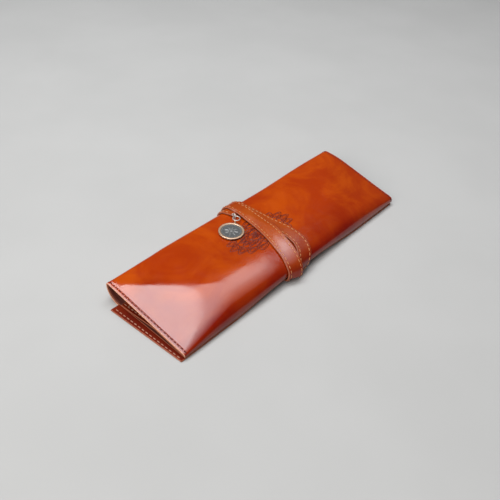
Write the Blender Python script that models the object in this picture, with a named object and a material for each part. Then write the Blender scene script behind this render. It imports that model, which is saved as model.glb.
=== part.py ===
"""Roll-up leather pencil case, closed, with its strap wound round it and a coin charm.

Metres, +Z up. The case lies along X, its open ends face -X and +X, and its back fold faces +Y.
The cover is one sheet in three sections that fold at the back: base, spine and top. Each section
is an outer leather with a lining behind it. The origin is under the middle of the whole object.
"""
import math

import bmesh
import bpy
import numpy as np
from mathutils import Vector

MM = 0.001

# Driving dimensions
COVER_LENGTH = 205 * MM
MARGIN = 5.7 * MM
HALF_DEPTH = 33 * MM
COVER_X = MARGIN / 2
LEFT_X = COVER_X - COVER_LENGTH / 2
RIGHT_X = COVER_X + COVER_LENGTH / 2
LEATHER = 0.9 * MM
LINING = 0.6 * MM
GAP = 0.3 * MM
WAIST_LIFT = 3.0 * MM
WAIST_X = COVER_X - 3.5 * MM
WAIST_HALF = 17 * MM
WAIST_EASE = 16 * MM
BOTTOM_RADIUS = 10 * MM
TOP_RADIUS = 5 * MM
MARGIN_BACK_Y = 23 * MM
LIP_ABOVE_BASE = 3.4 * MM
LIP_END_LIFT = 1.2 * MM
BASE_FRONT_Y = -HALF_DEPTH + 1.4 * MM
POCKET_BACK_Y = 21 * MM
POCKET_SHEET = 0.7 * MM
STATIONS = 23
SPINE_AXIS = (HALF_DEPTH, WAIST_LIFT)
TOP_AXIS = (HALF_DEPTH + 0.8 * MM, 16.6 * MM)
FINE = 500
TURN_WEIGHT = 12 * MM

STRAP_WIDTH = 10.4 * MM
STRAP_THICKNESS = 1.0 * MM
INNER_LAYER = GAP
OUTER_LAYER = INNER_LAYER + STRAP_THICKNESS + GAP

COIN_RADIUS = 8.5 * MM
COIN_THICKNESS = 1.5 * MM
COIN_CENTRE = (COVER_X - 21 * MM, 12 * MM)
TAIL_DIRECTION = Vector((-0.35, -0.94, 0.0)).normalized()
COIN_DIRECTION = Vector((-0.88, -0.475, 0.0)).normalized()
SMALL_RING = (1.6 * MM, 0.35 * MM)
JUMP_RING = (2.3 * MM, 0.35 * MM)
COIN_LOOP = (1.25 * MM, 0.3 * MM)
# From the jump ring's wire back to the near side of the coin's loop, and the loop into the coin
LOOP_SLACK = 0.9 * MM
LOOP_OVERLAP = 0.2 * MM
TAIL_LENGTH = 9.1 * MM
TAIL_HOLE = 0.6 * MM
TAIL_RISE = 1.25 * MM
RING_ABOVE_TOP = 2.3 * MM
COIN_ABOVE_TOP = 0.5 * MM

LOOP_CENTRES_Y = (-15 * MM, -1 * MM, 13 * MM)
LOOP_HALF_WIDTH = 4.9 * MM
LOOP_RISE = 5.8 * MM
LOOP_SEAM = 2.2 * MM
LOOPS_HALF_LENGTH = 13 * MM


def mix(a, b, t):
    return a + (b - a) * t


def ease(t):
    t = min(max(t, 0.0), 1.0)
    return t * t * (3 - 2 * t)


def waist(x):
    """1 where the strap draws the case in, 0 towards the ends."""
    return 1 - ease((abs(x - WAIST_X) - WAIST_HALF) / WAIST_EASE)


def base_height(x):
    return WAIST_LIFT * waist(x)


def back_height(x):
    """Height of the top along the back fold: lower at the left end, fuller at the right."""
    u = (x - COVER_X) / COVER_LENGTH
    left = 3.0 * MM * ease((-u - 0.28) / 0.22)
    right = 2.3 * MM * ease((u - 0.1) / 0.3)
    return 15.6 * MM - left + right


def flattened(x):
    """How far the front shoulder has closed down towards the left end and the right end."""
    u = (x - COVER_X) / COVER_LENGTH
    return ease((-u - 0.12) / 0.38), ease((u - 0.2) / 0.3)


def fullness(x):
    """Exponents of the top's cross-section: straight slope at the ends, round shoulder between."""
    left, right = flattened(x)
    n = mix(mix(5.0, 1.25, left), 1.75, right)
    m = mix(mix(2.3, 1.15, left), 1.75, right)
    return n, m


def lip_height(x):
    """Height of the lip's free edge, which clears the layers of the base at the slanted ends."""
    return base_height(x) + LIP_ABOVE_BASE + LIP_END_LIFT * max(flattened(x))


def resample(points, count, turn_weight=0.0):
    """Points along a polyline: evenly spaced, or closer where it turns if turn_weight is set."""
    points = np.array(points)
    steps = np.diff(points, axis=0)
    lengths = np.linalg.norm(steps, axis=1)
    heading = np.unwrap(np.arctan2(steps[:, 1], steps[:, 0]))
    turns = np.abs(np.gradient(heading)) if turn_weight else np.zeros(len(steps))
    along = np.concatenate([[0], np.cumsum(lengths + turn_weight * turns)])
    wanted = np.linspace(0, along[-1], count)
    return np.stack([np.interp(wanted, along, points[:, k]) for k in (0, 1)], axis=1)


def trimmed(line, depth, trim, count):
    """The line moved inwards by depth, cut back at its ends by the two lengths in trim."""
    points = resample(offset(resample(line, 160), depth), FINE)
    length = np.linalg.norm(np.diff(points, axis=0), axis=1).sum()
    first = int(round(FINE * trim[0] / length))
    last = FINE - int(round(FINE * trim[1] / length))
    return resample(points[first:last], count, TURN_WEIGHT)


def bottom_arc(x, angle):
    """Back-bottom corner of the cover: angle 0 is the flat base, 90 degrees the upright spine."""
    y = HALF_DEPTH - BOTTOM_RADIUS + BOTTOM_RADIUS * math.sin(angle)
    z = base_height(x) + BOTTOM_RADIUS * (1 - math.cos(angle))
    return y, z


def top_arc(x, angle):
    """Back-top corner: angle 0 is the upright spine, 90 degrees the level top."""
    height = back_height(x)
    radius = min(TOP_RADIUS, height - base_height(x) - BOTTOM_RADIUS)
    y = HALF_DEPTH - radius + radius * math.cos(angle)
    z = height - radius + radius * math.sin(angle)
    return y, z


def split_angle(arc, x, axis, rising):
    """Angle at which an arc crosses the diagonal plane through a fold axis."""
    low, high = 0.0, math.pi / 2
    for _ in range(40):
        middle = (low + high) / 2
        y, z = arc(x, middle)
        side = (y - axis[0]) + (z - axis[1]) if rising else (z - axis[1]) - (y - axis[0])
        low, high = (middle, high) if side < 0 else (low, middle)
    return (low + high) / 2


def base_line(x, front=BASE_FRONT_Y):
    """Outer line of the base from its front edge to the back fold, as (y, z) points."""
    last = split_angle(bottom_arc, x, SPINE_AXIS, rising=True)
    points = [(y, base_height(x)) for y in np.linspace(front, HALF_DEPTH - BOTTOM_RADIUS, 30)]
    return points + [bottom_arc(x, last * k / 12) for k in range(1, 13)]


def spine_line(x):
    first = split_angle(bottom_arc, x, SPINE_AXIS, rising=True)
    last = split_angle(top_arc, x, TOP_AXIS, rising=False)
    points = [bottom_arc(x, mix(first, math.pi / 2, k / 12)) for k in range(13)]
    return points + [top_arc(x, last * k / 12) for k in range(1, 13)]


def top_line(x):
    """Outer line of the top from the back fold over the shoulder to the free edge of the lip."""
    first = split_angle(top_arc, x, TOP_AXIS, rising=False)
    points = [top_arc(x, mix(first, math.pi / 2, k / 8)) for k in range(8)]
    n, m = fullness(x)
    start, height = top_arc(x, math.pi / 2)
    lip = lip_height(x)
    for k in range(81):
        a = math.pi / 2 * k / 80
        s = math.sin(a) ** (2 / n)
        c = max(math.cos(a), 0.0) ** (2 / m)
        points.append((mix(start, -HALF_DEPTH, s), mix(lip, height, c)))
    return points


def offset(points, distance):
    """The line moved inwards by a distance; the inside is on the left of its direction."""
    points = np.array(points)
    along = np.gradient(points, axis=0)
    along /= np.linalg.norm(along, axis=1)[:, None]
    left = np.stack([-along[:, 1], along[:, 0]], axis=1)
    return points + left * distance


def add_mesh(name, vertices, faces, material, parent=None):
    mesh = bpy.data.meshes.new(name)
    mesh.from_pydata([tuple(v) for v in vertices], [], faces)
    shell = bmesh.new()
    shell.from_mesh(mesh)
    bmesh.ops.recalc_face_normals(shell, faces=shell.faces)
    shell.to_mesh(mesh)
    shell.free()
    mesh.shade_smooth()
    mesh.set_sharp_from_angle(angle=math.radians(40))
    mesh.materials.append(material)
    piece = bpy.data.objects.new(name, mesh)
    bpy.context.collection.objects.link(piece)
    if parent:
        piece.parent = parent
        piece.matrix_parent_inverse = parent.matrix_world.inverted()
    return piece


def layer(outer, inner):
    """Vertices and faces of the closed solid between two grids of points of one size."""
    rows, columns = len(outer), len(outer[0])
    size = rows * columns
    vertices = [p for grid in (outer, inner) for row in grid for p in row]
    faces = []
    for i in range(rows - 1):
        for j in range(columns - 1):
            a = i * columns + j
            quad = [a, a + 1, a + columns + 1, a + columns]
            faces.append(quad)
            faces.append([size + q for q in reversed(quad)])
    rim = list(range(columns))
    rim += [i * columns + columns - 1 for i in range(1, rows)]
    rim += [(rows - 1) * columns + j for j in range(columns - 2, -1, -1)]
    rim += [i * columns for i in range(rows - 2, 0, -1)]
    for a, b in zip(rim, rim[1:] + rim[:1]):
        faces.append([b, a, size + a, size + b])
    return vertices, faces


def panel(name, line, stations, count, depth, thickness, material, trim=(0.0, 0.0), parent=None):
    """One layer of a cover section, between two depths below its outer line."""
    outer, inner = [], []
    for x in stations:
        for grid, d in ((outer, depth), (inner, depth + thickness)):
            grid.append([(x, y, z) for y, z in trimmed(line(x), d, trim, count)])
    return add_mesh(name, *layer(outer, inner), material, parent)


def no_lift(t):
    return 0.0


def tail_lift(t):
    """The strap's tail rises to its tip, clear of the turn below it."""
    return TAIL_RISE * ease((t - 0.55) / 0.3)


def ribbon(name, line, centre, half_width, depth, count, material, trim, parent=None, lift=no_lift):
    """A length of strap lying outside a cover section.

    centre, half_width and lift are functions of the share of the way along the section."""
    reference = line(WAIST_X)
    top, bottom = [], []
    for grid, d in ((top, -depth - STRAP_THICKNESS), (bottom, -depth)):
        for k, (y, z) in enumerate(trimmed(reference, d, trim, count)):
            t = k / (count - 1)
            x, w = centre(t), half_width(t)
            grid.append([(x - w, y, z + lift(t)), (x + w, y, z + lift(t))])
    return add_mesh(name, *layer(top, bottom), material, parent)


def ring_mesh(centre, radius, wire, along, across, segments=20, sides=8):
    """A closed ring whose circle lies in the plane of two unit vectors."""
    normal = along.cross(across)
    vertices, faces = [], []
    for i in range(segments):
        a = 2 * math.pi * i / segments
        out = along * math.cos(a) + across * math.sin(a)
        for j in range(sides):
            b = 2 * math.pi * j / sides
            vertices.append(centre + out * (radius + wire * math.cos(b)) + normal * wire * math.sin(b))
    for i in range(segments):
        for j in range(sides):
            a, b = i * sides, (i + 1) % segments * sides
            k = (j + 1) % sides
            faces.append([a + j, a + k, b + k, b + j])
    return vertices, faces


def pivot(name, place, parent=None):
    """An empty on a joint's axis, which the moving pieces hang from."""
    empty = bpy.data.objects.new(name, None)
    empty.empty_display_size = 0.01
    empty.location = place
    bpy.context.collection.objects.link(empty)
    if parent:
        bpy.context.view_layer.update()
        empty.parent = parent
        empty.matrix_parent_inverse = parent.matrix_world.inverted()
    bpy.context.view_layer.update()
    return empty


def material(name, colour, roughness, metallic=0.0):
    made = bpy.data.materials.new(name)
    made.use_nodes = True
    shader = made.node_tree.nodes["Principled BSDF"]
    shader.inputs["Base Color"].default_value = (*colour, 1.0)
    shader.inputs["Roughness"].default_value = roughness
    shader.inputs["Metallic"].default_value = metallic
    return made


def keyed(*pairs):
    """A smooth function through (share, value in mm) pairs."""
    def value(t):
        for (t0, v0), (t1, v1) in zip(pairs, pairs[1:]):
            if t <= t1:
                return COVER_X + mix(v0, v1, ease((t - t0) / (t1 - t0))) * MM
        return COVER_X + pairs[-1][1] * MM
    return value


def make_cover(leather, lining, spine, top):
    stations = np.linspace(LEFT_X, RIGHT_X, STATIONS)
    base_stations = np.concatenate([[LEFT_X - MARGIN, LEFT_X - 0.4 * MM], stations])

    def margined_base(x):
        """The sewn margin that shows past the left end stops short of the back fold."""
        if x < LEFT_X:
            return [(y, 0.0) for y in np.linspace(BASE_FRONT_Y, MARGIN_BACK_Y, 40)]
        return base_line(x)

    panel("base_cover", margined_base, base_stations, 16, 0.0, LEATHER, leather, (0, GAP / 2))
    panel("base_lining", base_line, stations, 15, LEATHER + GAP, LINING, lining, (0, GAP / 2))
    cut = (GAP / 2, GAP / 2)
    panel("spine_cover", spine_line, stations, 10, 0.0, LEATHER, leather, cut, spine)
    panel("spine_lining", spine_line, stations, 9, LEATHER + GAP, LINING, lining, cut, spine)
    panel("top_cover", top_line, stations, 18, 0.0, LEATHER, leather, (GAP / 2, 0), top)
    panel("top_lining", top_line, stations, 17, LEATHER + GAP, LINING, lining, (GAP / 2, 0), top)


def make_pockets(leather, lining):
    """The wide flat pocket on the base, and a strip sewn down between three raised pen loops."""
    level = LEATHER + LINING + 2 * GAP
    stations = np.linspace(LEFT_X, RIGHT_X, STATIONS)

    def pocket_line(x):
        return [(y, base_height(x)) for y in np.linspace(BASE_FRONT_Y, POCKET_BACK_Y, 40)]

    panel("pocket_panel", pocket_line, stations, 6, level, POCKET_SHEET, leather)
    floor = WAIST_LIFT + level + POCKET_SHEET + GAP
    section = []
    for centre in LOOP_CENTRES_Y:
        for k in range(13):
            a = math.pi * (1 - k / 12)
            rise = math.sin(a) ** 0.8
            section.append((centre + LOOP_HALF_WIDTH * math.cos(a), floor + LOOP_RISE * rise))
    section = [(section[0][0] - LOOP_SEAM, floor)] + section + [(section[-1][0] + LOOP_SEAM, floor)]
    outer, inner = [], []
    for x in (WAIST_X - LOOPS_HALF_LENGTH, WAIST_X + LOOPS_HALF_LENGTH):
        inner.append([(x, y, z) for y, z in section])
        outer.append([(x, y, z) for y, z in offset(section, POCKET_SHEET)])
    add_mesh("pen_loops", *layer(outer, inner), lining)


def make_strap(leather, spine, top):
    """The strap, from its sewn end under the base, round the case twice and back to its tail.

    The first turn and the tail lie against the cover, and the second turn lies over them."""
    def constant(t):
        return STRAP_WIDTH / 2

    def run(name, line, path, depth, count, trim, width=constant, parent=None):
        ribbon(name, line, keyed(*path), width, depth, count, leather, trim, parent)

    def under(x):
        return base_line(x, -HALF_DEPTH - 1.5 * MM)

    def start(x):
        return base_line(x, 8 * MM)

    cut = GAP / 2
    run("strap_under_1", start, [(0, 3.8), (1, 3.8)], INNER_LAYER, 14, (0, cut))
    run("strap_under_2", under, [(0, -9), (1, -2)], OUTER_LAYER, 20, (0, cut))
    run("strap_under_3", under, [(0, -15), (1, -6.9)], INNER_LAYER, 20, (0, cut))
    both = (cut, cut)
    run("strap_back_1", spine_line, [(0, 3.8), (1, 3.8)], INNER_LAYER, 12, both, parent=spine)
    run("strap_back_2", spine_line, [(0, -2), (1, -2)], OUTER_LAYER, 12, both, parent=spine)
    run("strap_back_3", spine_line, [(0, -6.9), (1, -6.9)], INNER_LAYER, 12, both, parent=spine)
    first_turn = [(0, 3.8), (0.3, 1.6), (0.52, 2.8), (0.66, 2.2), (0.82, -2.5), (1, -8.5)]
    second_turn = [(0, -2), (0.14, -0.5), (0.28, -1.2), (0.52, -5.4), (0.75, -10.5), (1, -13.5)]
    run("strap_over_1", top_line, first_turn, INNER_LAYER, 30, (cut, 0.2 * MM), parent=top)
    run("strap_over_2", top_line, second_turn, OUTER_LAYER, 30, (cut, 0.2 * MM), parent=top)

    def tapered(t):
        return mix(4.3 * MM, 1.5 * MM, ease((t - 0.2) / 0.5))

    length = np.linalg.norm(np.diff(np.array(top_line(WAIST_X)), axis=0), axis=1).sum()
    tail_path = [(0, -7.2), (0.55, -7.9), (1, -8.4)]
    return ribbon(
        "strap_tail", top_line, keyed(*tail_path), tapered, INNER_LAYER, 14, leather,
        (cut, length - TAIL_LENGTH), top, tail_lift,
    )


def punch(piece, centre, radius, height):
    """A round hole straight down through a piece."""
    bpy.ops.mesh.primitive_cylinder_add(vertices=20, radius=radius, depth=height, location=centre)
    cutter = bpy.context.object
    cutter.name = piece.name + "_cutter"
    cutter.hide_render = True
    cutter.display_type = "WIRE"
    cut = piece.modifiers.new("hole", "BOOLEAN")
    cut.operation = "DIFFERENCE"
    cut.object = cutter


def make_anchor(leather):
    """The patch that is sewn over the strap's fixed end, under the base."""
    low = WAIST_LIFT - INNER_LAYER - STRAP_THICKNESS
    x, y = COVER_X + 3.8 * MM, 1.0 * MM
    bpy.ops.mesh.primitive_cube_add(size=1, location=(x, y, low + STRAP_THICKNESS / 2))
    patch = bpy.context.object
    patch.name = "strap_anchor"
    patch.scale = (14 * MM, 12 * MM, STRAP_THICKNESS)
    bpy.ops.object.transform_apply(location=False, rotation=False, scale=True)
    edge = patch.modifiers.new("edge", "BEVEL")
    edge.width = 0.2 * MM
    edge.segments = 2
    patch.data.materials.append(leather)


def make_charm(silver, bronze, tail, top):
    """Eyelet, two rings and the coin, which hang in line from the tip of the tail."""
    up = Vector((0, 0, 1))
    cover_top = back_height(WAIST_X)
    level = cover_top + RING_ABOVE_TOP
    coin_reach = JUMP_RING[0] - LOOP_SLACK + 2 * COIN_LOOP[0] + COIN_RADIUS - LOOP_OVERLAP
    coin = Vector((*COIN_CENTRE, cover_top + COIN_ABOVE_TOP + COIN_THICKNESS / 2))
    jump_centre = Vector((*COIN_CENTRE, level)) - COIN_DIRECTION * coin_reach
    link = SMALL_RING[0] - SMALL_RING[1] - JUMP_RING[1] - 0.15 * MM
    small_centre = jump_centre - TAIL_DIRECTION * (JUMP_RING[0] + link)
    hole = small_centre - TAIL_DIRECTION * SMALL_RING[0]
    punch(tail, hole, TAIL_HOLE, 6 * MM)

    parts = ring_mesh(small_centre, *SMALL_RING, TAIL_DIRECTION, up)
    add_mesh("small_ring", *parts, silver, top)
    jump_pivot = pivot("jump_ring_pivot", small_centre, top)
    side = up.cross(COIN_DIRECTION)
    parts = ring_mesh(jump_centre, *JUMP_RING, COIN_DIRECTION, side, 28)
    add_mesh("jump_ring", *parts, silver, jump_pivot)
    coin_hinge = jump_centre + COIN_DIRECTION * JUMP_RING[0]
    coin_pivot = pivot("coin_pivot", coin_hinge, jump_pivot)
    loop_centre = coin_hinge + COIN_DIRECTION * (COIN_LOOP[0] - LOOP_SLACK)
    make_coin(coin, loop_centre, bronze, coin_pivot)


def make_coin(centre, loop_centre, bronze, parent):
    """A turned disc with a raised rim, and a cast loop that stands on edge at its rim."""
    rim = COIN_RADIUS
    half = COIN_THICKNESS / 2
    profile = [(0, half - 0.35 * MM), (rim - 1.7 * MM, half - 0.35 * MM), (rim - 1.3 * MM, half)]
    profile += [(rim - 0.35 * MM, half), (rim, half - 0.3 * MM), (rim, -half + 0.3 * MM)]
    profile += [(rim - 0.35 * MM, -half), (0, -half)]
    segments = 40
    vertices = [centre + Vector((0, 0, profile[0][1])), centre + Vector((0, 0, profile[-1][1]))]
    for i in range(segments):
        a = 2 * math.pi * i / segments
        for r, z in profile[1:-1]:
            vertices.append(centre + Vector((r * math.cos(a), r * math.sin(a), z)))
    count = len(profile) - 2
    faces = []
    for i in range(segments):
        a, b = 2 + i * count, 2 + (i + 1) % segments * count
        faces.append([0, a, b])
        faces.append([1, b + count - 1, a + count - 1])
        for j in range(count - 1):
            faces.append([a + j, a + j + 1, b + j + 1, b + j])
    disc = add_mesh("coin_charm", vertices, faces, bronze, parent)
    parts = ring_mesh(loop_centre, *COIN_LOOP, COIN_DIRECTION, Vector((0, 0, 1)), 20, 8)
    loop = add_mesh("coin_loop_cutter", *parts, bronze, parent)
    loop.hide_render = True
    loop.display_type = "WIRE"
    join = disc.modifiers.new("loop", "BOOLEAN")
    join.operation = "UNION"
    join.object = loop


def main():
    for existing in list(bpy.data.objects):
        bpy.data.objects.remove(existing, do_unlink=True)
    leather = material("cover_leather", (0.52, 0.13, 0.02), 0.28)
    lining = material("lining", (0.20, 0.04, 0.015), 0.6)
    strap_leather = material("strap_leather", (0.56, 0.16, 0.035), 0.32)
    silver = material("ring_metal", (0.55, 0.52, 0.48), 0.3, 1.0)
    bronze = material("coin_metal", (0.45, 0.40, 0.32), 0.38, 1.0)
    spine = pivot("spine_pivot", (COVER_X, *SPINE_AXIS))
    top = pivot("top_pivot", (COVER_X, *TOP_AXIS), spine)
    make_cover(leather, lining, spine, top)
    make_pockets(leather, lining)
    tail = make_strap(strap_leather, spine, top)
    make_anchor(strap_leather)
    make_charm(silver, bronze, tail, top)


main()
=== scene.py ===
"""Looks of a roll-up leather pencil case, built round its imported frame.

The case lies along X with its back fold towards +Y. Its cover is one sheet that runs from the
front edge of the base, round the back fold, over the top and down to the free edge of the lip.
A place on the cover is an x and a row, which counts along that line.
"""
import math

import bpy
import numpy as np
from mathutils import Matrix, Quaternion, Vector, noise


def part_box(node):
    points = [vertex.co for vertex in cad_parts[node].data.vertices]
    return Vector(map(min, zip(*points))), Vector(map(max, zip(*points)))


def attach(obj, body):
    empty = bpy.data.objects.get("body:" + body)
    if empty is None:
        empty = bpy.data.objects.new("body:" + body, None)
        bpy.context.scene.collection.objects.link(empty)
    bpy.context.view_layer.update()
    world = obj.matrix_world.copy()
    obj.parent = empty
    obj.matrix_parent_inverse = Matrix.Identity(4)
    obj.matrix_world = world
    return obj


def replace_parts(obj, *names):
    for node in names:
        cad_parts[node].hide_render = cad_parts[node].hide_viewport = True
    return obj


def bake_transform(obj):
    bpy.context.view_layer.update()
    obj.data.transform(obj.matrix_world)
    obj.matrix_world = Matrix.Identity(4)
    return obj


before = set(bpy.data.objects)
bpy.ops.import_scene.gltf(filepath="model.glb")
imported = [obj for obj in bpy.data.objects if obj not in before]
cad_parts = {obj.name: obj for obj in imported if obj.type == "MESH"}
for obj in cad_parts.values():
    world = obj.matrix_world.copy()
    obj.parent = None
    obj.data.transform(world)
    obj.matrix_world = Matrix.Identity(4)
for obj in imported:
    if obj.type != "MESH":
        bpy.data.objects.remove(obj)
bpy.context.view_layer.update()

MM = 0.001

# The cover, as the frame has it
COVER_LENGTH = 205 * MM
MARGIN = 5.7 * MM
MARGIN_FRONT_SHARE = 0.42
HALF_DEPTH = 33 * MM
COVER_X = MARGIN / 2
LEFT_X = COVER_X - COVER_LENGTH / 2
RIGHT_X = COVER_X + COVER_LENGTH / 2
FRONT_Y = -31.6 * MM
EDGE_SHOWS = 0.7 * MM
BACK_HEIGHT, BACK_DROP, BACK_RISE = 15.6 * MM, 3.0 * MM, 2.3 * MM
WAIST_LIFT = 3 * MM
WAIST_X = COVER_X - 3.5 * MM
WAIST_HALF = 17 * MM
WAIST_EASE = 46 * MM
BOTTOM_RADIUS = 10 * MM
TOP_RADIUS = 5 * MM
BACK_TUCK = 0.8
SHOULDER = (5.0, 2.3)
LIP_HEIGHT = 2.7 * MM
LIP_END_LIFT = 0.3 * MM
LEATHER = 0.9 * MM
LINING = 0.5 * MM
LINING_EDGE = 0.2 * MM
PRESSED = 0.05 * MM
CUT_EDGE = 0.4 * MM

# Rows of the cover's four stretches
BASE_ROWS, LOW_ROWS, HIGH_ROWS, TOP_ROWS = 36, 14, 14, 100
LOW_ROW = BASE_ROWS
HIGH_ROW = LOW_ROW + LOW_ROWS
TOP_ROW = HIGH_ROW + HIGH_ROWS
LIP_ROW = TOP_ROW + TOP_ROWS

# The flat facets where the top closes down to the two ends: height at the front corner, slopes
# along and across, and how soft the crease is
LEFT_FACET = (3.8 * MM, 0.23, 0.13, 0.45 * MM)
RIGHT_FACET = (6.0 * MM, 0.13, 0.22, 2.0 * MM)
SHOULDER_SOFTNESS = 2.4 * MM

STRAP_WIDTH = 9.9 * MM
STRAP_THICKNESS = 1.4 * MM
STRAP_REST = 0.1 * MM
SEAM_INSET = 1.6 * MM
END_SEAM = 1.8 * MM
BROAD_RIPPLE, FINE_RIPPLE = 0.34 * MM, 0.06 * MM
RIPPLE_AT_LEFT = 0.45
RIPPLE_SEED = 3.7
END_CREASE = (0.34 * MM, 0.16 * MM)
POCKET_SHEET = 0.6 * MM
POCKET_REST, POCKET_CURL, POCKET_HEADROOM = 0.2 * MM, 3.0 * MM, 1.0 * MM
POCKET_BACK_Y = 20.6 * MM

# Stitches: length, width and height of one, and the pitch of each seam
STITCH = (2.1 * MM, 0.55 * MM, 0.34 * MM)
END_STITCH = (1.9 * MM, 0.5 * MM, 0.3 * MM)
STRAP_PITCH, MARGIN_PITCH = 3.0 * MM, 3.0 * MM
POCKET_PITCH = 2.9 * MM
ANCHOR_PITCH = 2.8 * MM
END_PITCH = 2.6 * MM

COIN_RADIUS = 8.2 * MM
COIN_THICKNESS = 1.15 * MM


def mix(a, b, t):
    """The value a share t of the way from a to b."""
    return a + (b - a) * t


def ease(t):
    """A smooth step from 0 to 1."""
    t = np.clip(t, 0, 1)
    return t * t * (3 - 2 * t)


def soft_min(a, b, softness):
    """The smaller value, with the crease between the two rounded."""
    h = np.clip(0.5 + 0.5 * (b - a) / softness, 0, 1)
    return mix(b, a, h) - softness * h * (1 - h)


def base_height(x):
    """The strap draws the middle of the base up a little, which leaves room for its turns."""
    return WAIST_LIFT * (1 - ease((np.abs(x - WAIST_X) - WAIST_HALF) / WAIST_EASE))


def back_height(x):
    """The back edge is lower at the left end and higher at the right end."""
    u = (x - COVER_X) / COVER_LENGTH
    return BACK_HEIGHT - BACK_DROP * ease((-u - 0.28) / 0.22) + BACK_RISE * ease((u - 0.1) / 0.3)


def facet_height(facet, from_end, y):
    """Height of a facet at a distance from its end of the cover."""
    front, along, across, _ = facet
    return front + along * from_end + across * (y + HALF_DEPTH)


def lip_height(x):
    """The free edge hangs a little above the base, and rises towards the right end."""
    rise = LIP_END_LIFT * ease(((x - COVER_X) / COVER_LENGTH - 0.2) / 0.3)
    return base_height(x) + LIP_HEIGHT + rise


def along_line(points):
    """Distance of each point from the first, measured along the line."""
    steps = np.linalg.norm(np.diff(points, axis=0), axis=1)
    return np.concatenate([[0], np.cumsum(steps)])


def evenly(points, steps):
    """The same line with its points evenly spaced along it."""
    along = along_line(points)
    wanted = np.linspace(0, along[-1], steps + 1)
    return np.stack([np.interp(wanted, along, points[:, k]) for k in (0, 1)], axis=1)


def cover_line(x):
    """Outer line of the cover at one station, as (y, z) rows from the base to the lip."""
    low, high = base_height(x), back_height(x)
    turn = np.linspace(0, math.pi / 2, 60)
    front = FRONT_Y - EDGE_SHOWS * (1 - low / WAIST_LIFT)
    flat = np.stack([[front, HALF_DEPTH - BOTTOM_RADIUS], [low, low]], axis=1)
    tall = BOTTOM_RADIUS - BACK_TUCK * low
    bottom = np.stack([
        HALF_DEPTH - BOTTOM_RADIUS + BOTTOM_RADIUS * np.sin(turn),
        low + tall * (1 - np.cos(turn)),
    ], axis=1)
    radius = min(TOP_RADIUS, high - low - tall)
    back = np.stack([
        np.append(HALF_DEPTH, HALF_DEPTH - radius + radius * np.cos(turn)),
        np.append(low + tall, high - radius + radius * np.sin(turn)),
    ], axis=1)
    sweep = np.linspace(0, math.pi / 2, 500)
    top = np.stack([
        mix(HALF_DEPTH - radius, -HALF_DEPTH, np.sin(sweep) ** (2 / SHOULDER[0])),
        mix(lip_height(x), high, np.clip(np.cos(sweep), 0, 1) ** (2 / SHOULDER[1])),
    ], axis=1)
    for part in (back, top):
        for facet, from_end in ((LEFT_FACET, x - LEFT_X), (RIGHT_FACET, RIGHT_X - x)):
            softness = facet[3] + SHOULDER_SOFTNESS * ease((-part[:, 0] - 4 * MM) / (20 * MM))
            part[:, 1] = soft_min(part[:, 1], facet_height(facet, from_end, part[:, 0]), softness)
    stretches = [evenly(flat, BASE_ROWS), evenly(bottom, LOW_ROWS)]
    stretches += [evenly(back, HIGH_ROWS), evenly(top, TOP_ROWS)]
    return np.concatenate([stretches[0]] + [s[1:] for s in stretches[1:]])


def scaled_to_1(vectors):
    """The same directions, each with length 1."""
    return vectors / np.linalg.norm(vectors, axis=-1)[..., None]


def grid_normals(points):
    """Outward unit normals of a grid whose rows run round the case and columns along X."""
    return scaled_to_1(np.cross(np.gradient(points, axis=0), np.gradient(points, axis=1)))


def with_stations(stations, lines):
    """A grid of points from the (y, z) line of each station."""
    x = np.broadcast_to(stations[:, None], lines.shape[:2] + (1,))
    return np.concatenate([x, lines], axis=2)


class Sheet:
    """A curved sheet: a grid of points with outward normals."""

    def __init__(self, stations, points):
        self.stations = stations
        self.points = points
        self.normals = grid_normals(points)
        self.along = along_line(points[:, np.searchsorted(stations, WAIST_X)])

    def row(self, distance):
        """The row at a distance along the line through the waist, counted from the first row."""
        return np.interp(distance, self.along, np.arange(len(self.along)))

    def distance(self, row):
        return np.interp(row, np.arange(len(self.along)), self.along)

    def at(self, x, row):
        """Points and normals at any x and row."""
        column = np.interp(x, self.stations, np.arange(len(self.stations)))
        i = np.clip(np.floor(row).astype(int), 0, len(self.points) - 2)
        j = np.clip(np.floor(column).astype(int), 0, len(self.stations) - 2)
        u, v = (row - i)[..., None], (column - j)[..., None]
        found = []
        for grid in (self.points, self.normals):
            near = mix(grid[i, j], grid[i, j + 1], v)
            far = mix(grid[i + 1, j], grid[i + 1, j + 1], v)
            found.append(mix(near, far, u))
        return found[0], scaled_to_1(found[1])


def end_stations():
    """Columns of the cover: close together by the creased seams at its two ends."""
    near = np.array([0, 0.4, 0.7, 1.0, 1.3, 1.6, 1.9, 2.2, 2.6, 3.2, 4.0, 5.0, 6.3]) * MM
    left = LEFT_X + CUT_EDGE + near
    right = RIGHT_X - CUT_EDGE - near[::-1]
    middle = np.linspace(left[-1], right[0], 160)[1:-1]
    return np.concatenate([left, middle, right])


def ripple(x, along, seed):
    """Unevenness of the leather: broad swells with finer ones on them."""
    broad = noise.noise(Vector((x * 24, along * 30, seed)))
    fine = noise.noise(Vector((x * 70, along * 62, seed + 5)))
    return BROAD_RIPPLE * broad + FINE_RIPPLE * fine


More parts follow.
